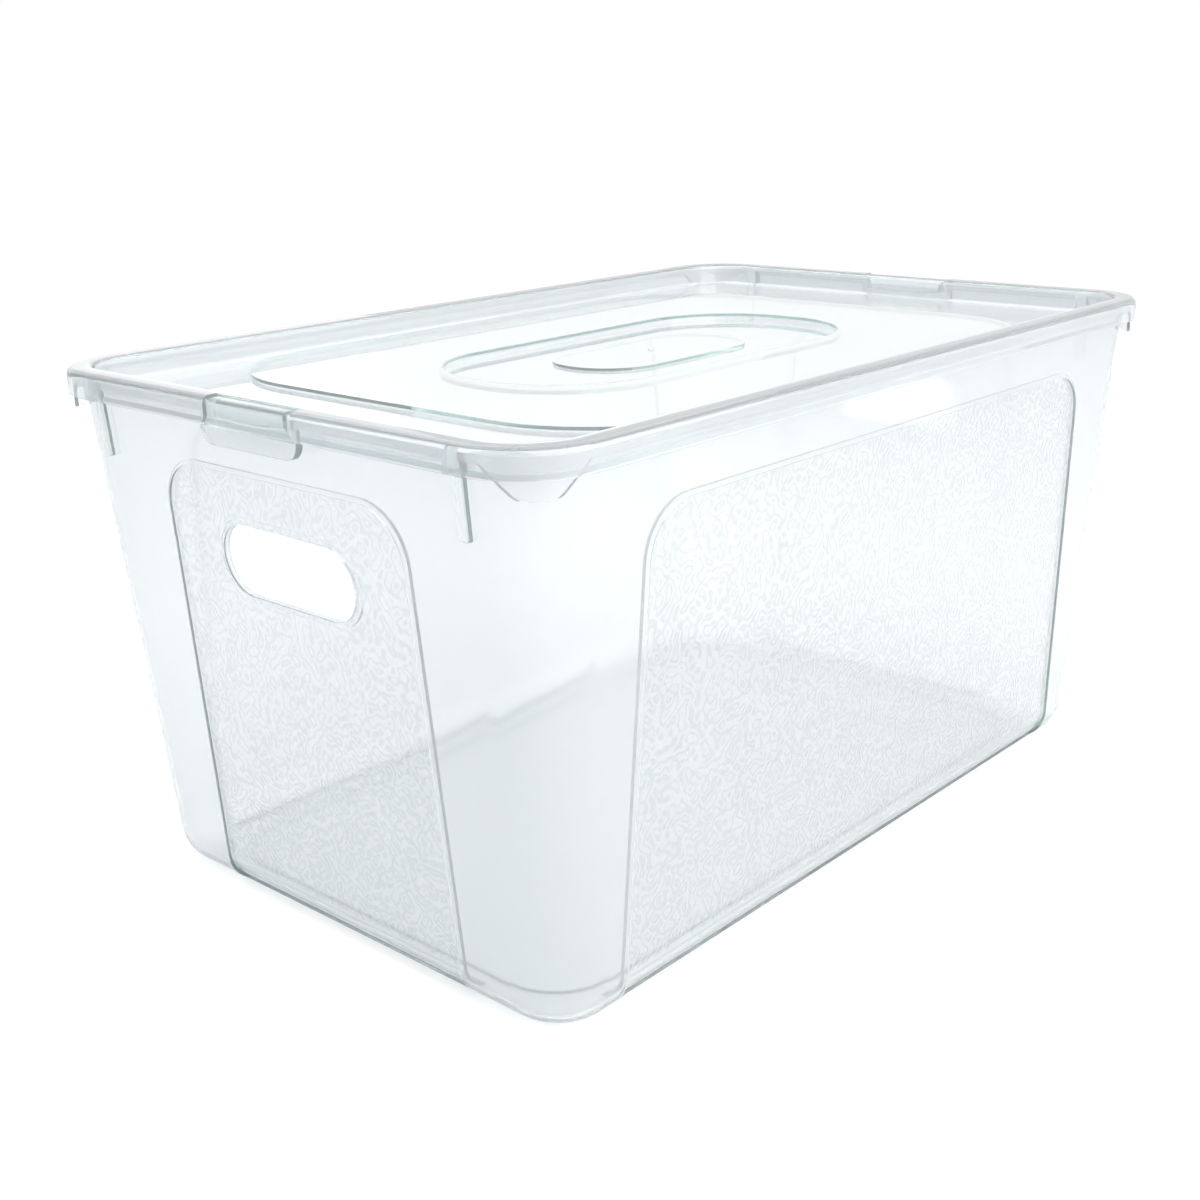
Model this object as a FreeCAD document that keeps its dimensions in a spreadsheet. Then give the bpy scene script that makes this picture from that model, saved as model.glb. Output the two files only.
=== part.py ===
import FreeCAD, Part
import math
import os
import Sketcher

# Lidded storage bin: an open moulded tub and the lid that drops over its rim.
# Millimetres. +Z is up, X runs along the length, the origin is the middle of the base.

SIZES = [
    ("overall_length", 460.0, "lid, outside, end to end"),
    ("overall_width", 288.4, "lid, outside, side to side"),
    ("overall_height", 232.0, "base to the top of the closed lid"),
    ("rim_corner", 33.0, "outside corner radius of the lid"),
    ("lid_wall", 1.6, "wall of the lid"),
    ("skirt_drop", 10.8, "outer skirt of the lid, top to lower edge"),
    ("lid_recess", 11.0, "stacking recess, lid top down to the deck"),
    ("bead_round", 3.2, "round on the outside top edge of the lid"),
    ("bead_inner_round", 2.4, "round on the inside top edge of the lid"),
    ("recess_bevel", 1.0, "bevel at the foot of the stacking recess"),
    ("lid_gap", 0.4, "clearance between the skirt and the tub rim"),
    ("plug_gap", 0.4, "clearance between the lid's inner wall and the tub"),
    ("tub_wall", 1.8, "wall of the tub"),
    ("base_wall", 2.2, "floor of the tub"),
    ("rim_reach", 6.3, "tub wall set in from the lid's outside face"),
    ("end_draft", 18.6, "lean of each end wall over its height"),
    ("side_draft", 10.6, "lean of each long wall over its height"),
    ("wall_corner", 26.7, "radius of the tub's upright corners, outside"),
    ("foot_round", 18.0, "round between the walls and the base"),
    ("flange_wall", 2.0, "thickness of the tub's rim flange"),
    ("lip_wall", 1.4, "thickness of the rim's down-turned lip"),
    ("lip_drop", 6.0, "lid top down to the lip's lower edge"),
    ("apron_drop", 18.2, "lid top down to the lower edge of the aprons"),
    ("end_apron_half", 28.5, "half width of the apron in the middle of an end"),
    ("apron_round", 6.5, "lower corners of the aprons"),
    ("corner_apron_end", 26.0, "corner apron on the end, in from the long side, at the lip"),
    ("corner_apron_side", 30.0, "corner apron on the side, in from the end, at the lip"),
    ("apron_slant", 11.5, "how much nearer the corner an apron's lower edge starts"),
    ("panel_depth", 1.5, "step of the textured panels into the wall"),
    ("panel_top", 31.2, "lid top down to the top of the panels"),
    ("panel_foot", 3.0, "base to the lower end of the panels, in the foot round"),
    ("panel_corner", 21.0, "top corner radius of the panels"),
    ("end_panel_margin", 74.5, "end panel at its top, in from the lid's long side"),
    ("side_panel_margin", 68.2, "side panel at its top, in from the lid's end"),
    ("end_panel_flare", 4.5, "how much wider each side of an end panel is at the base"),
    ("side_panel_flare", 8.5, "how much wider each side of a side panel is at the base"),
    ("hand_length", 79.5, "hand hole, end to end"),
    ("hand_height", 30.0, "hand hole, top to bottom"),
    ("hand_drop", 67.2, "lid top down to the middle of the hand hole"),
    ("hand_collar", 2.5, "width of the thickened edge round a hand hole"),
    ("hand_collar_rise", 1.2, "how far that edge stands inside the wall"),
    ("rib_margin", 38.0, "nesting rib, middle, in from the lid's long side"),
    ("rib_width", 3.6, "width of a nesting rib"),
    ("rib_proud", 2.6, "how far a nesting rib stands out of the wall"),
    ("gusset_width", 6.2, "width of the web between the rim and a rib"),
    ("rib_drop", 35.0, "lid top down to the foot of the nesting ribs"),
    ("base_inset", 21.5, "width of the foot round the raised floor panel"),
    ("base_rise", 1.2, "height of the raised floor panel"),
    ("notch_half", 25.6, "half width of the notch in the lid's end"),
    ("notch_round", 4.0, "corners of the skirt beside the notch"),
    ("notch_depth", 7.0, "notch into the lid from its end face"),
    ("catch_half", 22.2, "half length of the tub's grip bar in the notch"),
    ("catch_top", 0.6, "lid top down to the top of the grip bar"),
    ("catch_drop", 7.9, "lid top down to the ends of the bar's lower edge"),
    ("catch_bow", 1.3, "how much lower that edge is in the middle"),
    ("catch_round", 2.4, "round on the grip bar's edges"),
    ("catch_set_back", 0.3, "grip bar in from the lid's outside face"),
    ("deck_margin_end", 63.5, "raised deck panel, in from the lid's end"),
    ("deck_margin_side", 20.0, "raised deck panel, in from the lid's long side"),
    ("deck_corner", 62.0, "raised deck panel, corner radius"),
    ("deck_rise", 2.0, "raised deck panel above the deck"),
    ("oval_half_x", 110.5, "oval dish, half length"),
    ("oval_half_y", 52.3, "oval dish, half width"),
    ("oval_corner", 48.0, "oval dish, corner radius"),
    ("oval_sink", 3.6, "oval dish below the raised panel"),
    ("pad_half_x", 55.0, "centre pad, half length"),
    ("pad_half_y", 26.5, "centre pad, half width"),
    ("pad_corner", 26.0, "centre pad, corner radius"),
    ("pad_rise", 1.2, "centre pad above the dish"),
]

doc = FreeCAD.newDocument("lidded_bin")
sheet = doc.addObject("Spreadsheet::Sheet", "sizes")
for row, (alias, size, meaning) in enumerate(SIZES, start=1):
    sheet.set("A%d" % row, meaning)
    sheet.set("B%d" % row, str(size))
    sheet.setAlias("B%d" % row, alias)
doc.recompute()

ALIASES = sorted((alias for alias, size, meaning in SIZES), key=len, reverse=True)


def bound(formula):
    """Write a formula of plain size names as one that reads them from the sheet."""
    words = formula.replace("(", " ( ").replace(")", " ) ").split()
    return " ".join("sizes." + word if word in ALIASES else word for word in words)


def value(formula):
    """The number that a formula of size names gives."""
    return float(sheet.evalExpression(bound(formula).replace("sizes.", "")))


def bind(item, target, formula):
    """Tie one property or sketch constraint to a formula of size names."""
    item.setExpression(target, bound(formula))


def origin_plane(body, role):
    """One of a body's own origin planes."""
    return next(f for f in body.Origin.OriginFeatures if f.Role == role)


def new_body(name):
    return doc.addObject("PartDesign::Body", name)


def new_sketch(body, name, role, offset="0"):
    """A sketch on an origin plane, moved along the plane's normal by offset."""
    sketch = body.newObject("Sketcher::SketchObject", name)
    sketch.AttachmentSupport = [(origin_plane(body, role), "")]
    sketch.MapMode = "FlatFace"
    bind(sketch, ".AttachmentOffset.Base.z", offset)
    return sketch


def fix_point(sketch, geo, point, x, y):
    """Dimension one sketch point from the origin; x and y are (sign, formula) pairs."""
    for kind, (sign, formula) in (("DistanceX", x), ("DistanceY", y)):
        if formula is None:
            continue
        ends = (-1, 1, geo, point) if sign > 0 else (geo, point, -1, 1)
        index = sketch.addConstraint(Sketcher.Constraint(kind, *ends, value(formula)))
        bind(sketch, "Constraints[%d]" % index, formula)


def rounded_outline(sketch, half_x, half_y, radius):
    """A rounded rectangle about the sketch origin, sized by three formulas."""
    x, y, r = value(half_x), value(half_y), value(radius)
    quarter = math.pi / 2
    spots = [(x, y - r), (x - r, y), (-x + r, y), (-x, y - r),
             (-x, -y + r), (-x + r, -y), (x - r, -y), (x, -y + r)]
    centres = [(x - r, y - r), (-x + r, y - r), (-x + r, -y + r), (x - r, -y + r)]
    first = sketch.GeometryCount
    for turn, (cx, cy) in enumerate(centres):
        circle = Part.Circle(FreeCAD.Vector(cx, cy, 0), FreeCAD.Vector(0, 0, 1), r)
        sketch.addGeometry(Part.ArcOfCircle(circle, turn * quarter, (turn + 1) * quarter))
    for side in range(4):
        start, end = spots[2 * side + 1], spots[(2 * side + 2) % 8]
        sketch.addGeometry(Part.LineSegment(FreeCAD.Vector(*start, 0), FreeCAD.Vector(*end, 0)))
    for side in range(4):
        arc, line, following = first + side, first + 4 + side, first + (side + 1) % 4
        sketch.addConstraint(Sketcher.Constraint("Tangent", arc, 2, line, 1))
        sketch.addConstraint(Sketcher.Constraint("Tangent", line, 2, following, 1))
        level = "Horizontal" if side % 2 == 0 else "Vertical"
        sketch.addConstraint(Sketcher.Constraint(level, line))
        if side:
            sketch.addConstraint(Sketcher.Constraint("Equal", first, arc))
    index = sketch.addConstraint(Sketcher.Constraint("Radius", first, r))
    bind(sketch, "Constraints[%d]" % index, radius)
    fix_point(sketch, first + 4, 1, (1, None), (1, half_y))
    fix_point(sketch, first + 6, 1, (1, None), (-1, half_y))
    fix_point(sketch, first + 7, 1, (1, half_x), (1, None))
    fix_point(sketch, first + 5, 1, (-1, half_x), (1, None))


def slot_outline(sketch, half_x, half_y):
    """A slot with half-round ends about the sketch origin."""
    x, y = value(half_x), value(half_y)
    for sign in (1, -1):
        circle = Part.Circle(FreeCAD.Vector(sign * (x - y), 0, 0), FreeCAD.Vector(0, 0, 1), y)
        start = -math.pi / 2 if sign > 0 else math.pi / 2
        sketch.addGeometry(Part.ArcOfCircle(circle, start, start + math.pi))
    for sign in (1, -1):
        ends = [FreeCAD.Vector(sign * side * (x - y), sign * y, 0) for side in (1, -1)]
        sketch.addGeometry(Part.LineSegment(*ends))
    for arc, line, following in ((0, 2, 1), (1, 3, 0)):
        sketch.addConstraint(Sketcher.Constraint("Tangent", arc, 2, line, 1))
        sketch.addConstraint(Sketcher.Constraint("Tangent", line, 2, following, 1))
        sketch.addConstraint(Sketcher.Constraint("Horizontal", line))
    fix_point(sketch, 0, 3, (1, "%s - ( %s )" % (half_x, half_y)), (1, None))
    fix_point(sketch, 1, 3, (-1, "%s - ( %s )" % (half_x, half_y)), (1, None))
    fix_point(sketch, 2, 1, (1, None), (1, half_y))
    fix_point(sketch, 3, 1, (1, None), (-1, half_y))


def polygon(sketch, points):
    """A closed outline of straight sides; each point is ((sign, formula), (sign, formula))."""
    first = sketch.GeometryCount
    places = [FreeCAD.Vector(x[0] * value(x[1]), y[0] * value(y[1]), 0) for x, y in points]
    count = len(places)
    for n in range(count):
        sketch.addGeometry(Part.LineSegment(places[n], places[(n + 1) % count]))
    for n in range(count):
        sketch.addConstraint(Sketcher.Constraint("Coincident", first + n, 2, first + (n + 1) % count, 1))
        fix_point(sketch, first + n, 1, *points[n])


def pad(body, sketch, name, depth, kind="PartDesign::Pad", back=False, midplane=False):
    """A pad or pocket of a sketch with its length bound to a formula."""
    feature = body.newObject(kind, name)
    feature.Profile = sketch
    bind(feature, "Length", depth)
    feature.Reversed = back
    if midplane:
        feature.SideType = "Symmetric"
    doc.recompute()
    return feature


def pocket(body, sketch, name, depth, **how):
    return pad(body, sketch, name, depth, kind="PartDesign::Pocket", **how)


def fillet(body, base, name, radius, picked, kind="PartDesign::Fillet", measure="Radius"):
    """Round the edges of a feature that the test picks."""
    edges = ["Edge%d" % n for n, edge in enumerate(base.Shape.Edges, start=1) if picked(edge)]
    feature = body.newObject(kind, name)
    feature.Base = (base, edges)
    bind(feature, measure, radius)
    doc.recompute()
    return feature


def chamfer(body, base, name, width, picked):
    return fillet(body, base, name, width, picked, kind="PartDesign::Chamfer", measure="Size")


def level_edge(z):
    """Test for edges that lie flat at one height."""
    return lambda edge: edge.BoundBox.ZLength < 1e-4 and abs(edge.BoundBox.ZMin - z) < 1e-4


def combine(kind, name, parts):
    """A boolean of finished objects: Part::MultiFuse, or Part::Cut and Part::Common of two."""
    result = doc.addObject(kind, name)
    if kind == "Part::MultiFuse":
        result.Shapes = parts
    else:
        result.Base, result.Tool = parts
    doc.recompute()
    return result


# ---------------------------------------------------------------- tub

RIM_TOP = "overall_height - lid_wall"
HALF_X = "overall_length / 2 - rim_reach"
HALF_Y = "overall_width / 2 - rim_reach"
APRON_FOOT = "overall_height - apron_drop"


def rounded(name, base, picked, radius):
    """Round the picked edges of an object."""
    feature = doc.addObject("Part::Fillet", name)
    feature.Base = base
    size = value(radius)
    feature.Edges = [(n, size, size) for n, edge in enumerate(base.Shape.Edges, start=1) if picked(edge)]
    doc.recompute()
    return feature


def bin_form(name, inset, floor):
    """The tub's tapered form, set in from its outside by inset, rounded at corners and foot.

    The walls of all such forms are parallel, so one cut from another leaves an even wall."""
    block = doc.addObject("Part::Wedge", name + "_block")
    height = "%s - ( %s )" % (RIM_TOP, floor)
    lean = "( 1 - ( %s ) / ( %s ) )" % (floor, RIM_TOP)
    for axis, half, draft in (("X", HALF_X, "end_draft"), ("Z", HALF_Y, "side_draft")):
        high = "%s - ( %s )" % (half, inset)
        low = "%s - ( %s ) - %s * %s" % (half, inset, draft, lean)
        bind(block, axis + "max", low)
        bind(block, axis + "min", "0 - ( %s )" % low)
        bind(block, axis + "2max", high)
        bind(block, axis + "2min", "0 - ( %s )" % high)
    bind(block, "Ymax", height)
    block.Placement.Rotation = FreeCAD.Rotation(FreeCAD.Vector(1, 0, 0), 90)
    bind(block, ".Placement.Base.z", floor)
    doc.recompute()
    cornered = rounded(name + "_corners", block, lambda edge: edge.BoundBox.ZLength > 1,
                       "wall_corner - ( %s )" % inset)
    return rounded(name, cornered, level_edge(value(floor)), "foot_round - ( %s )" % inset)


def panel_prism(name, role, half_top, flare, grow):
    """The outline of the textured panels, run right through the bin along X or along Y."""
    body = new_body(name)
    sketch = new_sketch(body, name + "_outline", role)
    top = "overall_height - panel_top + ( %s )" % grow
    foot = "panel_foot + ( %s )" % grow
    wide = "%s + %s + ( %s )" % (half_top, flare, grow)
    slim = "%s + ( %s )" % (half_top, grow)
    polygon(sketch, [((1, wide), (1, foot)), ((1, slim), (1, top)),
                     ((-1, slim), (1, top)), ((-1, wide), (1, foot))])
    prism = pad(body, sketch, name + "_run", "overall_length + overall_width", midplane=True)
    height = value(top)
    fillet(body, prism, name + "_corners", "panel_corner + ( %s )" % grow,
           lambda edge: edge.BoundBox.ZLength < 1e-4 and abs(edge.BoundBox.ZMin - height) < 1e-4
           and edge.Length > value("overall_length"))
    return body


def panelled(name, form, inner_form, grow):
    """A form with its four panels stepped in to a second, smaller form."""
    ends = panel_prism(name + "_end_panel", "YZ_Plane",
                       "overall_width / 2 - end_panel_margin", "end_panel_flare", grow)
    sides = panel_prism(name + "_side_panel", "XZ_Plane",
                        "overall_length / 2 - side_panel_margin", "side_panel_flare", grow)
    both = combine("Part::MultiFuse", name + "_panels", [ends, sides])
    steps = combine("Part::Cut", name + "_steps", [both, inner_form])
    return combine("Part::Cut", name + "_panelled", [form, steps])


def stadium_prism(name, grow):
    """The hand hole's outline, larger by grow, run through both ends."""
    body = new_body(name)
    sketch = new_sketch(body, name + "_outline", "YZ_Plane")
    slot_outline(sketch, "hand_length / 2 + ( %s )" % grow, "hand_height / 2 + ( %s )" % grow)
    bind(sketch, ".AttachmentOffset.Base.y", "overall_height - hand_drop")
    pad(body, sketch, name + "_run", "2 * overall_length", midplane=True)
    return body


def rim_ring(body, name, low, high, out, inner):
    """A level ring that follows the rim between two insets from the lid's outside."""
    sketch = new_sketch(body, name + "_outline", "XY_Plane", low)
    for inset in (out, inner):
        rounded_outline(sketch, "overall_length / 2 - ( %s )" % inset,
                        "overall_width / 2 - ( %s )" % inset, "rim_corner - ( %s )" % inset)
    return pad(body, sketch, name, "( %s ) - ( %s )" % (high, low))


def rim_gap(name, role, outlines, corners):
    """A gap between two aprons, run right through the bin, with the aprons' lower corners rounded."""
    body = new_body(name)
    sketch = new_sketch(body, name + "_outline", role)
    for outline in outlines:
        polygon(sketch, outline)
    run = pad(body, sketch, name + "_run", "2 * overall_length", midplane=True)
    foot = level_edge(value(APRON_FOOT))
    side = "XMin" if role == "XZ_Plane" else "YMin"
    places = [value(corner) for corner in corners]
    shorter = value("overall_length")
    fillet(body, run, name + "_corners", "apron_round",
           lambda edge: foot(edge) and edge.Length > shorter
           and any(abs(abs(getattr(edge.BoundBox, side)) - place) < 1e-4 for place in places))
    return body


def tub_rim():
    """Flange, down-turned lip and the deeper aprons at the corners and the end middles."""
    lip_out = "lid_wall + lid_gap"
    lip = new_body("lip")
    rim_ring(lip, "lip_ring", APRON_FOOT, RIM_TOP, lip_out, lip_out + " + lip_wall")
    flange = new_body("flange")
    rim_ring(flange, "flange_ring", RIM_TOP + " - flange_wall", RIM_TOP, lip_out,
             "rim_reach + tub_wall / 2")
    low = APRON_FOOT + " - 1"
    high = "overall_height - lip_drop"
    slim = "overall_length / 2 - corner_apron_side"
    wide = slim + " + apron_slant"
    past = wide + " + 2 * apron_round"
    side_gap = rim_gap("side_gap", "XZ_Plane", [[
        ((-1, past), (1, low)), ((1, past), (1, low)), ((1, past), (1, APRON_FOOT)),
        ((1, wide), (1, APRON_FOOT)), ((1, slim), (1, high)), ((-1, slim), (1, high)),
        ((-1, wide), (1, APRON_FOOT)), ((-1, past), (1, APRON_FOOT))]], [wide])
    slim = "overall_width / 2 - corner_apron_end"
    wide = slim + " + apron_slant"
    past = wide + " + 2 * apron_round"
    near = "end_apron_half - 2 * apron_round"
    end_gap = rim_gap("end_gap", "YZ_Plane", [[
        ((sign, near), (1, low)), ((sign, past), (1, low)), ((sign, past), (1, APRON_FOOT)),
        ((sign, wide), (1, APRON_FOOT)), ((sign, slim), (1, high)), ((sign, "end_apron_half"), (1, high)),
        ((sign, "end_apron_half"), (1, APRON_FOOT)), ((sign, near), (1, APRON_FOOT))]
        for sign in (1, -1)], [wide, "end_apron_half"])
    gaps = combine("Part::MultiFuse", "rim_gaps", [side_gap, end_gap])
    return [combine("Part::Cut", "lip_and_aprons", [lip, gaps]), flange]


def grip_bar():
    """The rounded bar of the rim that fills the notch in the lid, one at each end."""
    body = new_body("grip_bar")
    sketch = new_sketch(body, "bar_outline", "YZ_Plane", "overall_length / 2 - notch_depth + lid_gap")
    bow_radius = "( catch_half * catch_half + catch_bow * catch_bow ) / ( 2 * catch_bow )"
    bow_centre = "overall_height - catch_drop - catch_bow + %s" % bow_radius
    radius, half = value(bow_radius), value("catch_half")
    circle = Part.Circle(FreeCAD.Vector(0, value(bow_centre), 0), FreeCAD.Vector(0, 0, 1), radius)
    swing = math.asin(half / radius)
    sketch.addGeometry(Part.ArcOfCircle(circle, -math.pi / 2 - swing, -math.pi / 2 + swing))
    low, top = value("overall_height - catch_drop"), value("overall_height - catch_top")
    corners = [FreeCAD.Vector(*spot, 0) for spot in ((half, low), (half, top), (-half, top), (-half, low))]
    for start, end in zip(corners, corners[1:]):
        sketch.addGeometry(Part.LineSegment(start, end))
    for n in range(4):
        sketch.addConstraint(Sketcher.Constraint("Coincident", n, 2, (n + 1) % 4, 1))
    fix_point(sketch, 1, 1, (1, "catch_half"), (1, "overall_height - catch_drop"))
    fix_point(sketch, 2, 1, (1, "catch_half"), (1, "overall_height - catch_top"))
    fix_point(sketch, 3, 1, (-1, "catch_half"), (1, "overall_height - catch_top"))
    fix_point(sketch, 3, 2, (-1, "catch_half"), (1, "overall_height - catch_drop"))
    fix_point(sketch, 0, 3, (1, None), (1, bow_centre))
    bar = pad(body, sketch, "bar", "notch_depth - lid_gap - catch_set_back")
    outer = value("overall_length / 2 - catch_set_back")
    rounded = fillet(body, bar, "bar_round", "catch_round",
                     lambda edge: abs(edge.BoundBox.XMin - outer) < 1e-4 and edge.BoundBox.YLength > 1)
    mirror_ends(body, [bar, rounded])
    return body


def end_tab():
    """The thicker tab below the notch, flush with the lid's outside, one at each end."""
    body = new_body("end_tab")
    lip_in = "lid_wall + lid_gap + lip_wall"
    sketch = new_sketch(body, "tab_outline", "YZ_Plane", "overall_length / 2 - ( %s )" % lip_in)
    high = "overall_height - skirt_drop - lid_gap"
    polygon(sketch, [((-1, "end_apron_half"), (1, APRON_FOOT)), ((1, "end_apron_half"), (1, APRON_FOOT)),
                     ((1, "end_apron_half"), (1, high)), ((-1, "end_apron_half"), (1, high))])
    tab = pad(body, sketch, "tab", "%s - catch_set_back" % lip_in)
    foot = value(APRON_FOOT)
    rounded = fillet(body, tab, "tab_corners", "apron_round",
                     lambda edge: level_edge(foot)(edge) and edge.BoundBox.YLength < 1e-4)
    mirror_ends(body, [tab, rounded])
    return body


def mirror_ends(body, features):
    """Repeat a body's features at the far end of the bin."""
    mirror = body.newObject("PartDesign::Mirrored", body.Name + "_far")
    mirror.Originals = features
    mirror.MirrorPlane = (origin_plane(body, "YZ_Plane"), [""])
    body.Tip = mirror
    doc.recompute()


def end_block(name, end, side, width, out, low, high):
    """A block beside an end wall, centred on a nesting rib and reaching into the wall."""
    block = doc.addObject("Part::Box", name)
    reach = "rim_reach + tub_wall + end_draft / 5 - ( %s )" % out
    bind(block, "Length", reach)
    bind(block, "Width", width)
    bind(block, "Height", "( %s ) - ( %s )" % (low, high))
    face = "overall_length / 2 - ( %s )" % out
    bind(block, ".Placement.Base.x", "%s - ( %s )" % (face, reach) if end > 0 else "0 - ( %s )" % face)
    middle = "overall_width / 2 - rib_margin" if side > 0 else "rib_margin - overall_width / 2"
    bind(block, ".Placement.Base.y", "%s - ( %s ) / 2" % (middle, width))
    bind(block, ".Placement.Base.z", "overall_height - ( %s )" % low)
    return block


def nesting_ribs():
    """Upright ribs below the rim that keep nested tubs from jamming, with a gusset above each."""
    blocks, gussets = [], []
    lip_out = "lid_wall + lid_gap"
    for n, (end, side) in enumerate(((1, 1), (1, -1), (-1, 1), (-1, -1)), start=1):
        blocks.append(end_block("rib_%d" % n, end, side, "rib_width", lip_out, "rib_drop", "skirt_drop - 1"))
        gussets.append(end_block("gusset_%d" % n, end, side, "gusset_width", lip_out,
                                 "skirt_drop", "lid_wall + flange_wall / 2"))
    face = bin_form("rib_face", "0 - rib_proud", "0")
    all_blocks = combine("Part::MultiFuse", "rib_blocks", blocks)
    return [combine("Part::Common", "ribs", [all_blocks, face])] + gussets


def floor_step(name, low, high, grow):
    """The raised panel in the middle of the base."""
    body = new_body(name)
    sketch = new_sketch(body, name + "_outline", "XY_Plane", low)
    rounded_outline(sketch, "%s - end_draft - base_inset + ( %s )" % (HALF_X, grow),
                    "%s - side_draft - base_inset + ( %s )" % (HALF_Y, grow),
                    "wall_corner + ( %s )" % grow)
    pad(body, sketch, name + "_block", "( %s ) - ( %s )" % (high, low))
    return body


def make_tub():
    skin = bin_form("skin", "0", "0")
    skin_step = bin_form("skin_step", "panel_depth", "panel_depth")
    outside = panelled("outside", skin, skin_step, "0")
    cavity = bin_form("cavity", "tub_wall", "base_wall")
    cavity_step = bin_form("cavity_step", "tub_wall + panel_depth", "base_wall + panel_depth")
    inside = panelled("inside", cavity, cavity_step, "tub_wall")
    hollow = combine("Part::Cut", "hollow",
                     [inside, floor_step("floor_top", "0", "base_wall + base_rise", "tub_wall")])
    fittings = [grip_bar(), end_tab()] + tub_rim() + nesting_ribs()
    solid = combine("Part::MultiFuse", "tub_solid", [outside] + fittings)
    shell = combine("Part::Cut", "tub_shell", [solid, hollow])
    underside = floor_step("floor_under", "0 - base_wall", "base_rise", "0")
    shell = combine("Part::Cut", "tub_base", [shell, underside])
    core = bin_form("collar_core", "tub_wall + panel_depth + hand_collar_rise", "base_wall")
    layer = combine("Part::Cut", "collar_layer", [skin_step, core])
    collars = combine("Part::Common", "collars", [layer, stadium_prism("collar_prism", "hand_collar")])
    whole = combine("Part::MultiFuse", "tub_with_collars", [shell, collars])
    tub = combine("Part::Cut", "tub", [whole, stadium_prism("hand_hole", "0")])
    tub.Label = "tub"
    return tub


# ---------------------------------------------------------------- lid

def lid_block(body, name, low, high, inset, cut=False):
    """Pad or cut a rounded block between two depths below the lid's top."""
    sketch = new_sketch(body, name + "_outline", "XY_Plane", "overall_height - ( %s )" % low)
    rounded_outline(sketch, "overall_length / 2 - ( %s )" % inset,
                    "overall_width / 2 - ( %s )" % inset, "rim_corner - ( %s )" % inset)
    kind = "PartDesign::Pocket" if cut else "PartDesign::Pad"
    return pad(body, sketch, name, "( %s ) - ( %s )" % (low, high), kind=kind, back=cut)


def deck_block(body, name, low, high, half_x, half_y, radius, shrink="0", cut=False):
    """Pad or cut one level of the embossed deck."""
    sketch = new_sketch(body, name + "_outline", "XY_Plane", "overall_height - ( %s )" % low)
    rounded_outline(sketch, "%s - ( %s )" % (half_x, shrink), "%s - ( %s )" % (half_y, shrink),
                    "%s - ( %s )" % (radius, shrink))
    kind = "PartDesign::Pocket" if cut else "PartDesign::Pad"
    return pad(body, sketch, name, "( %s ) - ( %s )" % (low, high), kind=kind, back=cut)


def lid_rim(body, plug, recess):
    """Skirt, top land and inner wall: an upturned channel that drops over the tub's rim."""
    top = value("overall_height")
    rim = lid_block(body, "skirt_block", "skirt_drop", "0", "0")
    fillet(body, rim, "bead_outer", "bead_round", level_edge(top))
    lid_block(body, "plug_block", "lid_recess + lid_wall", "lid_wall", plug)
    recessed = lid_block(body, "stacking_recess", "lid_recess", "0", recess, cut=True)
    foot = value("overall_height - lid_recess")
    inner_x = value("overall_length / 2 - bead_round") - 1
    rounded = fillet(body, recessed, "bead_inner", "bead_inner_round",
                     lambda edge: level_edge(top)(edge) and inside_edge(edge, inner_x))
    chamfer(body, rounded, "recess_foot", "recess_bevel", level_edge(foot))
    sketch = new_sketch(body, "rim_channel_outline", "XY_Plane", "overall_height - ( lid_recess + lid_wall )")
    for inset in ("lid_wall", plug):
        rounded_outline(sketch, "overall_length / 2 - ( %s )" % inset,
                        "overall_width / 2 - ( %s )" % inset, "rim_corner - ( %s )" % inset)
    pocket(body, sketch, "rim_channel", "lid_recess", back=True)


def inside_edge(edge, limit):
    """Whether an edge of the lid's top belongs to the recess and not to the outside."""
    box = edge.BoundBox
    margin = value("overall_length / 2") - limit
    return (box.XMax < limit and box.XMin > -limit
            and box.YMax < value("overall_width / 2") - margin
            and box.YMin > margin - value("overall_width / 2"))


def lid_deck(body):
    """The embossed deck: a raised panel, an oval dish in it and a pad in the middle."""
    panel = ("overall_length / 2 - deck_margin_end", "overall_width / 2 - deck_margin_side", "deck_corner")
    oval = ("oval_half_x", "oval_half_y", "oval_corner")
    centre = ("pad_half_x", "pad_half_y", "pad_corner")
    raised = "lid_recess - deck_rise"
    dish = "lid_recess - deck_rise + oval_sink"
    deck_block(body, "dish_under", dish + " + lid_wall", "lid_recess", *oval, shrink="0 - lid_wall")
    deck_block(body, "raised_panel", "lid_recess", raised, *panel)
    deck_block(body, "dish", dish, "0", *oval, cut=True)
    deck_block(body, "centre_pad", dish, dish + " - pad_rise", *centre)
    low = "overall_height - ( %s + lid_wall )" % dish
    ring = new_sketch(body, "panel_under_outline", "XY_Plane", low)
    for outline, shrink in ((panel, "lid_wall"), (oval, "0 - lid_wall")):
        rounded_outline(ring, *("%s - ( %s )" % (size, shrink) for size in outline))
    pocket(body, ring, "panel_under", "oval_sink", back=True)
    deck_block(body, "pad_under", dish + " + lid_wall", dish + " + lid_wall - pad_rise", *centre,
               shrink="lid_wall", cut=True)


def lid_notches(body):
    """A notch through the skirt and the land in the middle of each end."""
    foot = level_edge(value("overall_height - skirt_drop"))
    half = value("notch_half")
    for sign, name in ((1, "notch_right"), (-1, "notch_left")):
        inner = "overall_length / 2 - notch_depth"
        sketch = new_sketch(body, name + "_outline", "YZ_Plane", inner if sign > 0 else "0 - ( %s )" % inner)
        low, high = "overall_height - skirt_drop - 1", "overall_height + 1"
        polygon(sketch, [((-1, "notch_half"), (1, low)), ((1, "notch_half"), (1, low)),
                         ((1, "notch_half"), (1, high)), ((-1, "notch_half"), (1, high))])
        cut = pocket(body, sketch, name, "notch_depth + 1", back=sign > 0)
    fillet(body, cut, "notch_corners", "notch_round",
           lambda edge: foot(edge) and abs(abs(edge.BoundBox.YMin) - half) < 1e-4
           and edge.BoundBox.YLength < 1e-4)


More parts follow.
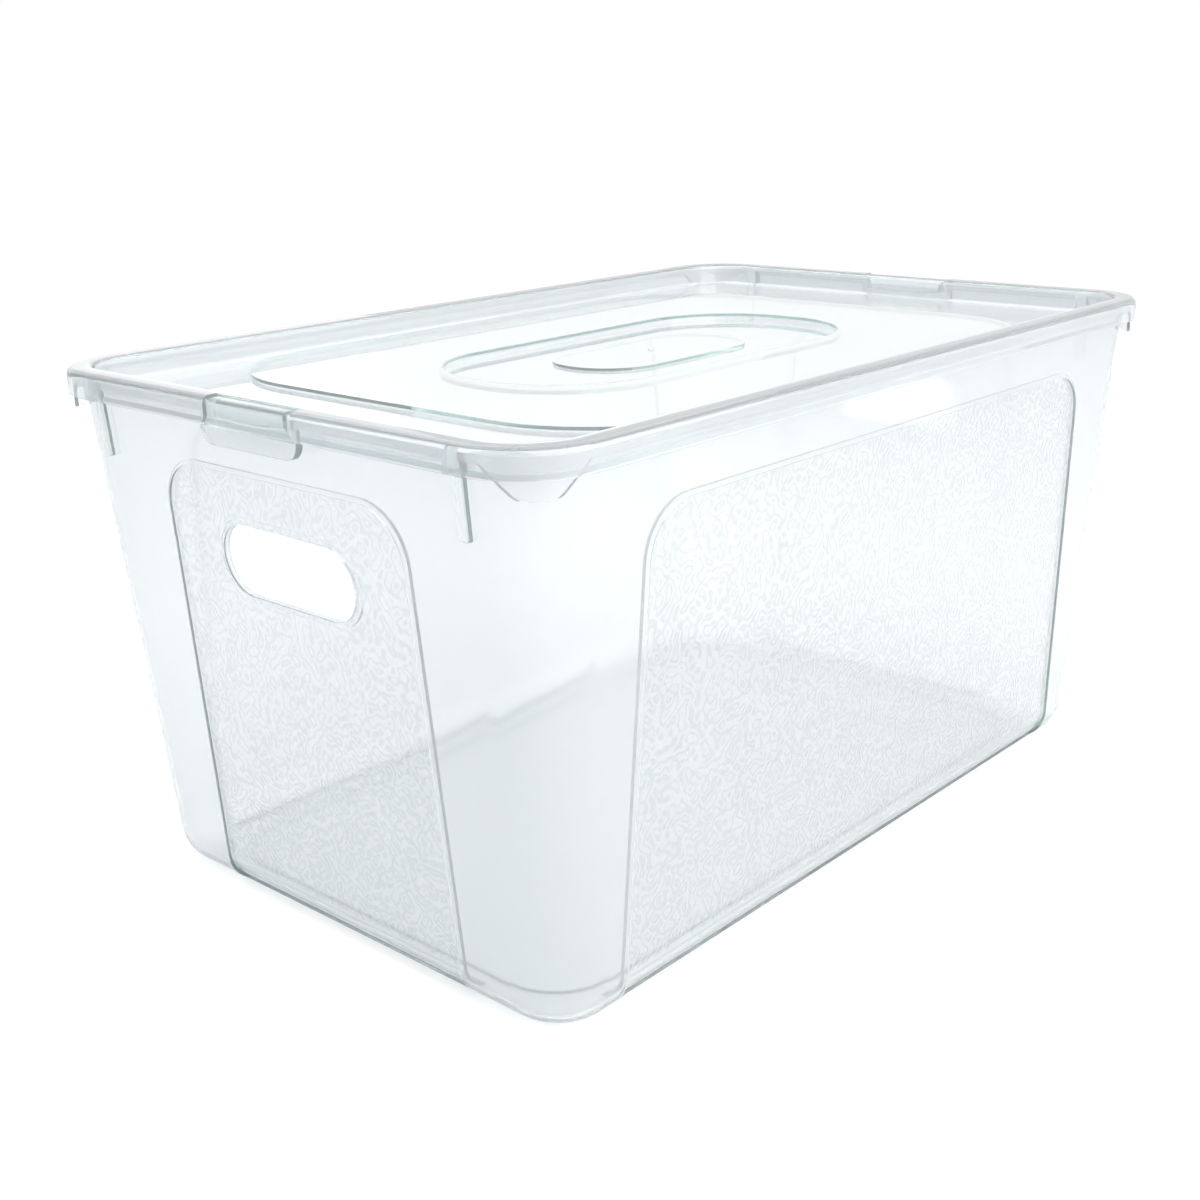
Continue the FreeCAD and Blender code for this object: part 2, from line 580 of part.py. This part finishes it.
def make_lid():
    body = new_body("lid")
    plug = "rim_reach + tub_wall + end_draft * ( lid_recess + lid_wall ) / overall_height + plug_gap"
    lid_rim(body, plug, plug + " + lid_wall")
    lid_deck(body)
    lid_notches(body)
    return body


def check(parts):
    """Stop before writing if anything in the document failed."""
    for item in doc.Objects:
        if "Invalid" in item.State or "Error" in item.State:
            raise RuntimeError("%s failed: %s" % (item.Name, item.State))
    for piece in parts:
        shape = piece.Shape
        if shape.isNull() or not shape.isValid() or len(shape.Solids) != 1:
            raise RuntimeError("%s is not one valid solid" % piece.Label)


pieces = [make_tub(), make_lid()]
doc.recompute()
check(pieces)
os.makedirs("parts", exist_ok=True)
for piece in pieces:
    print("%s: %.1f cm3" % (piece.Label, piece.Shape.Volume / 1000))
    piece.Shape.exportStep("parts/%s.step" % piece.Label)
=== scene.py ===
import math

import bmesh
import bpy
from mathutils import Matrix, Vector


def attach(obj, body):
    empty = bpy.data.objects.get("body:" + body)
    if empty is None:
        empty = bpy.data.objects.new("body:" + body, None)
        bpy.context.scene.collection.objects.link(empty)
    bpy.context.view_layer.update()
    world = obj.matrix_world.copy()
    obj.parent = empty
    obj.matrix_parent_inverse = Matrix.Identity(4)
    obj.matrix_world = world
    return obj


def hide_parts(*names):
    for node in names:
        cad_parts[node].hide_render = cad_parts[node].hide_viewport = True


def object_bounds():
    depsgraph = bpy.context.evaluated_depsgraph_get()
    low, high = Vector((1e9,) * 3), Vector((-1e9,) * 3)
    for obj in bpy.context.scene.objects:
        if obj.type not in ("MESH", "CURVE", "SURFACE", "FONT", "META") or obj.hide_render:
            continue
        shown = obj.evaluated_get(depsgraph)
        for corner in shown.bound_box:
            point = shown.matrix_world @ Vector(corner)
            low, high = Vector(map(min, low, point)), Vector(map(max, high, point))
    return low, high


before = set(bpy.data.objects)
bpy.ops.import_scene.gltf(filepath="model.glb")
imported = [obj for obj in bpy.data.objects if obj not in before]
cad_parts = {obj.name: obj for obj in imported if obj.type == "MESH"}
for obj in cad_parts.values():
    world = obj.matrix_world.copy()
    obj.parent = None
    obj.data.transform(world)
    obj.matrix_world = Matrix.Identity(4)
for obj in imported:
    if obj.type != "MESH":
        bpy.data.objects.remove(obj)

cad_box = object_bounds()

# ---------------------------------------------------------------- camera
# The bin is seen from a little above its rim, past the corner between the left end
# and the near long side. The camera's place is counted in half lengths of the bin
# from the middle of its rim.
CAMERA_PLACE = Vector((-2.4739, -2.0712, 0.4763))
CAMERA_AZIMUTH = math.radians(-48.05)
CAMERA_ELEVATION = math.radians(18.15)
CAMERA_ROLL = math.radians(-1.18)
SENSOR_WIDTH = 36
FOCAL_LENGTH = 47.79


def placed(name, data):
    """A new object in the scene, at the origin."""
    thing = bpy.data.objects.new(name, data)
    bpy.context.scene.collection.objects.link(thing)
    return thing


low, high = cad_box
half_length = (high.x - low.x) / 2
rim_middle = Vector(((low.x + high.x) / 2, (low.y + high.y) / 2, high.z))
back = Vector((math.sin(CAMERA_AZIMUTH) * math.cos(CAMERA_ELEVATION),
               -math.cos(CAMERA_AZIMUTH) * math.cos(CAMERA_ELEVATION),
               math.sin(CAMERA_ELEVATION)))
right = Vector((math.cos(CAMERA_AZIMUTH), math.sin(CAMERA_AZIMUTH), 0))
turn = Matrix((right, back.cross(right), back)).transposed().to_4x4()
camera_data = bpy.data.cameras.new("camera")
camera_data.sensor_width = SENSOR_WIDTH
camera_data.lens = FOCAL_LENGTH
camera = placed("camera", camera_data)
camera.matrix_world = (Matrix.Translation(rim_middle + CAMERA_PLACE * half_length)
                       @ turn @ Matrix.Rotation(CAMERA_ROLL, 4, "Z"))
bpy.context.scene.camera = camera
bpy.context.scene.view_settings.view_transform = "Standard"

# ---------------------------------------------------------------- studio
# A flat white paper sheet under four soft lamps, in a pale room. The camera, and what it
# sees through the plastic or mirrored in it, meets white paper that still takes the
# bin's shadow. The plastic is lit by the lamps, the room and a duller sheet of paper.
PAPER_LIT = "#B4BAC0"      # the paper, for the light that it throws back at the bin
PAPER_SEEN = "#D3D3D3"     # the paper, for the camera: its glow is added to this
PAPER_GLOW = 0.50
ROOM = "#F4F4F8"
ROOM_STRENGTH = 0.88
WHITE = "#FFFFFF"
FLOOR_HALF = 4.0
FLOOR_DROP = 0.0002        # keeps the paper clear of the foot
LAMP_AIM = Vector((0, 0, 0.1))
# Each lamp's name, place and width in metres, watts and colour.
LAMPS = (("key_lamp", (-0.15, -0.85, 0.8), 1.3, 10.5, "#FFFBF7"),
         ("top_lamp", (0.1, 0.15, 0.8), 0.9, 2.6, WHITE),
         ("side_lamp", (-1.7, 0.3, 0.9), 1.2, 0.5, "#E4E8FA"),
         ("back_lamp", (0.3, 1.2, 0.9), 1.2, 2.4, WHITE))
# A ray can cross many walls where the lid, its rim and both sides of the tub lie in line.
REFRACTIONS = 24
REFLECTIONS = 6
CLEAR_CROSSINGS = 16


def linear(hex_colour):
    """sRGB hex to the linear RGBA that a shader socket takes."""
    parts = [int(hex_colour[n:n + 2], 16) / 255 for n in (1, 3, 5)]
    return (*(c / 12.92 if c <= 0.04045 else ((c + 0.055) / 1.055) ** 2.4 for c in parts), 1)


def add_node(tree, kind, links=None, **settings):
    """Add a shader node; settings name its properties or sockets, links feed its sockets."""
    node = tree.nodes.new(kind)
    for name, value in settings.items():
        if name in node.inputs.keys():
            node.inputs[name].default_value = value
        else:
            setattr(node, name, value)
    for socket, source in (links or {}).items():
        tree.links.new(source, node.inputs[socket])
    return node


def new_material(name):
    """An empty material and its node tree."""
    material = bpy.data.materials.new(name)
    material.use_nodes = True
    material.node_tree.nodes.clear()
    return material, material.node_tree


def seen_by_camera(tree):
    """1 for camera rays and the glossy and transmitted rays that follow them, else 0."""
    path = add_node(tree, "ShaderNodeLightPath")
    seen = add_node(tree, "ShaderNodeMath",
                    {0: path.outputs["Is Camera Ray"], 1: path.outputs["Is Glossy Ray"]},
                    operation="MAXIMUM")
    seen = add_node(tree, "ShaderNodeMath",
                    {0: seen.outputs[0], 1: path.outputs["Is Transmission Ray"]},
                    operation="MAXIMUM")
    return seen.outputs[0]


world = bpy.data.worlds.new("studio")
world.use_nodes = True
tree = world.node_tree
tree.nodes.clear()
backdrop = add_node(tree, "ShaderNodeBackground", Color=linear(WHITE), Strength=1.0)
room = add_node(tree, "ShaderNodeBackground", Color=linear(ROOM), Strength=ROOM_STRENGTH)
mix = add_node(tree, "ShaderNodeMixShader",
               {0: seen_by_camera(tree), 1: room.outputs[0], 2: backdrop.outputs[0]})
add_node(tree, "ShaderNodeOutputWorld", {"Surface": mix.outputs[0]})
bpy.context.scene.world = world

# Matt uncoated paper: an even white without a sheen, with a soft grey shadow on it.
material, tree = new_material("matt_paper")
sheet = add_node(tree, "ShaderNodeBsdfDiffuse", Color=linear(PAPER_LIT))
glow = add_node(tree, "ShaderNodeEmission", Color=linear(WHITE), Strength=PAPER_GLOW)
shade = add_node(tree, "ShaderNodeBsdfDiffuse", Color=linear(PAPER_SEEN))
ground = add_node(tree, "ShaderNodeAddShader", {0: glow.outputs[0], 1: shade.outputs[0]})
mix = add_node(tree, "ShaderNodeMixShader",
               {0: seen_by_camera(tree), 1: sheet.outputs[0], 2: ground.outputs[0]})
add_node(tree, "ShaderNodeOutputMaterial", {"Surface": mix.outputs[0]})
shape = bmesh.new()
bmesh.ops.create_grid(shape, x_segments=1, y_segments=1, size=FLOOR_HALF)
floor_mesh = bpy.data.meshes.new("floor")
shape.to_mesh(floor_mesh)
shape.free()
floor_mesh.transform(Matrix.Translation((0, 0, low.z - FLOOR_DROP)))
floor_mesh.materials.append(material)
floor = placed("floor", floor_mesh)

for name, place, width, watts, colour in LAMPS:
    lamp_data = bpy.data.lights.new(name, "AREA")
    lamp_data.shape = "SQUARE"
    lamp_data.size = width
    lamp_data.energy = watts
    lamp_data.color = linear(colour)[:3]
    lamp = placed(name, lamp_data)
    lamp.location = place
    lamp.rotation_mode = "QUATERNION"
    lamp.rotation_quaternion = (Vector(place) - LAMP_AIM).to_track_quat("Z", "Y")

cycles = bpy.context.scene.cycles
cycles.max_bounces = REFRACTIONS
cycles.transmission_bounces = REFRACTIONS
cycles.glossy_bounces = REFLECTIONS
cycles.transparent_max_bounces = CLEAR_CROSSINGS

# ---------------------------------------------------------------- tub
# One injection moulding of clear polypropylene: the drafted bin with its rim and hand
# holes. Its panels, one in the middle of each side, are set in by a step and carry a
# moulded maze texture; everything else is smooth.
CLEAR = "#F6F7F8"
HAZE = "#C2E4E0"           # the cold tint that light takes on along the inside of a wall
HAZE_DENSITY = 26.0
PLASTIC_IOR = 1.49
TUB_CLARITY = 0.86         # the share of light that passes; the rest is milky
TUB_ROUGHNESS = 0.09
TUB_SHADE = "#CBCFD3"      # what one skin leaves of a lamp's light behind it
# painted shade: the maze's grooves are coloured greyer than the clear skin
GROOVE_PAINTED_SHADE = "#E4E7E9"
MAZE_PITCH = 0.0035        # from one stretch of groove to the next
MAZE_DEPTH = 0.00005
MAZE_TURNS = 3.0           # contour bands between the noise's low and high
NOISE_PER_PITCH = 0.66
GROOVE_EDGES = (-0.3, 0.7)  # where a band's wave starts and ends to be groove
WELD = 1e-6
SMOOTH_LIMIT = math.radians(30)
FACING = 0.98
DEPTH_DIGITS = 4           # planes are told apart to a tenth of a millimetre


def polypropylene(name, clarity, roughness, shade, maze=False):
    """Clear moulded polypropylene: see-through, a little milky, grey-green where looked along.

    Lamps shine through it without being bent, so that the inside is lit, duller wall by wall.
    """
    material, tree = new_material(name)
    plastic = add_node(tree, "ShaderNodeBsdfPrincipled", **{
        "Base Color": linear(CLEAR), "Roughness": roughness, "IOR": PLASTIC_IOR,
        "Transmission Weight": clarity})
    haze = add_node(tree, "ShaderNodeVolumeAbsorption", Color=linear(HAZE), Density=HAZE_DENSITY)
    passing = add_node(tree, "ShaderNodeBsdfTransparent", Color=linear(shade))
    path = add_node(tree, "ShaderNodeLightPath")
    skin = add_node(tree, "ShaderNodeMixShader",
                    {0: path.outputs["Is Shadow Ray"], 1: plastic.outputs[0], 2: passing.outputs[0]})
    add_node(tree, "ShaderNodeOutputMaterial", {"Surface": skin.outputs[0], "Volume": haze.outputs[0]})
    if maze:
        # Contour bands of a smooth noise wander and close on themselves as the moulded
        # maze does: shallow grooves in the bump, and a greyer colour in them that is painted shade for
        # the light they bend.
        place = add_node(tree, "ShaderNodeUVMap", uv_map="panel_place")
        panel = add_node(tree, "ShaderNodeAttribute", attribute_name="panel")
        wander = add_node(tree, "ShaderNodeTexNoise", {"Vector": place.outputs["UV"]},
                          noise_dimensions="2D", Scale=NOISE_PER_PITCH / MAZE_PITCH, Detail=0.0)
        turns = add_node(tree, "ShaderNodeMapRange", {"Value": wander.outputs[0]}, clamp=False,
                         **{"To Max": 2 * math.pi * MAZE_TURNS})
        wave = add_node(tree, "ShaderNodeMath", {0: turns.outputs["Result"]}, operation="SINE")
        groove = add_node(tree, "ShaderNodeMapRange",
                          {"Value": wave.outputs[0], "To Max": panel.outputs["Fac"]},
                          interpolation_type="SMOOTHSTEP",
                          **{"From Min": GROOVE_EDGES[0], "From Max": GROOVE_EDGES[1]})
        # Painted shade: the grooves get a greyer colour for the light that they bend and scatter.
        tint = add_node(tree, "ShaderNodeMixRGB", {"Fac": groove.outputs["Result"]},
                        Color1=linear(CLEAR), Color2=linear(GROOVE_PAINTED_SHADE))
        tree.links.new(tint.outputs["Color"], plastic.inputs["Base Color"])
        relief = add_node(tree, "ShaderNodeBump", {"Height": groove.outputs["Result"]},
                          Distance=MAZE_DEPTH, Strength=1.0, invert=True)
        tree.links.new(relief.outputs["Normal"], plastic.inputs["Normal"])
    return material


def moulding(name):
    """A welded, smooth-shaded copy of a CAD piece, which it stands for."""
    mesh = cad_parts[name].data.copy()
    shape = bmesh.new()
    shape.from_mesh(mesh)
    bmesh.ops.remove_doubles(shape, verts=shape.verts, dist=WELD)
    for face in shape.faces:
        face.smooth = True
    for edge in shape.edges:
        if len(edge.link_faces) == 2:
            edge.smooth = edge.calc_face_angle(0) < SMOOTH_LIMIT
    shape.to_mesh(mesh)
    shape.free()
    mesh.materials.clear()
    piece = placed(name + "_shell", mesh)
    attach(piece, name)
    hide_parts(name)
    return piece


tub = moulding("tub")
# The skin of a plain, unpolished mould: what lies behind it shows softened.
tub.data.materials.append(polypropylene("frosted_polypropylene", TUB_CLARITY, TUB_ROUGHNESS,
                                        TUB_SHADE, maze=True))
panel = tub.data.attributes.new("panel", "FLOAT", "FACE")
place = tub.data.uv_layers.new(name="panel_place")
for side in (Vector((1, 0, 0)), Vector((-1, 0, 0)), Vector((0, 1, 0)), Vector((0, -1, 0))):
    # Seen from outside, a side is mostly two parallel planes; the panel is the inner one.
    planes = {}
    for face in tub.data.polygons:
        depth = face.normal.dot(face.center)
        if face.normal.dot(side) > FACING and depth > 0:
            planes.setdefault(round(depth, DEPTH_DIGITS), []).append(face)
    largest = sorted(planes, key=lambda depth: sum(face.area for face in planes[depth]))[-2:]
    for face in planes[min(largest)]:
        panel.data[face.index].value = 1
        for loop in face.loop_indices:
            spot = tub.data.vertices[tub.data.loops[loop].vertex_index].co
            place.data[loop].uv = (spot.y if side.x else spot.x, spot.z)

# ---------------------------------------------------------------- lid
# The other injection moulding of clear polypropylene: a deck with a raised panel, an
# oval dish and a pad, in a channel rim that drops over the rim of the tub.
LID_CLARITY = 0.88
LID_ROUGHNESS = 0.03
LID_SHADE = "#EEF0F1"

lid = moulding("lid")
# The skin of a polished mould: glassy, with crisp lines at its steps.
lid.data.materials.append(polypropylene("clear_polypropylene", LID_CLARITY, LID_ROUGHNESS, LID_SHADE))

# ---------------------------------------------------------------- gate mark
# The pip of the lid's own polypropylene that is left in the middle of its pad where
# the moulding was cut from the mould's gate.
GATE_RADIUS = 0.0014
GATE_DROP = 0.0108         # the pip's top, below the top of the lid's rim
GATE_HEIGHT = 0.0009
GATE_EDGE = 0.0003

gate_top = high.z - GATE_DROP
shape = bmesh.new()
bmesh.ops.create_cone(
    shape, cap_ends=True, segments=24, radius1=GATE_RADIUS, radius2=GATE_RADIUS, depth=GATE_HEIGHT,
    matrix=Matrix.Translation((rim_middle.x, rim_middle.y, gate_top - GATE_HEIGHT / 2)))
crown = [edge for edge in shape.edges if min(vert.co.z for vert in edge.verts) > gate_top - WELD]
bmesh.ops.bevel(shape, geom=crown, offset=GATE_EDGE, offset_type="OFFSET", affect="EDGES", segments=2,
                profile=0.5, material=-1)
gate_mesh = bpy.data.meshes.new("gate_mark")
shape.to_mesh(gate_mesh)
shape.free()
gate_mesh.materials.append(lid.data.materials[0])
gate_mark = placed("gate_mark", gate_mesh)
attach(gate_mark, "lid")
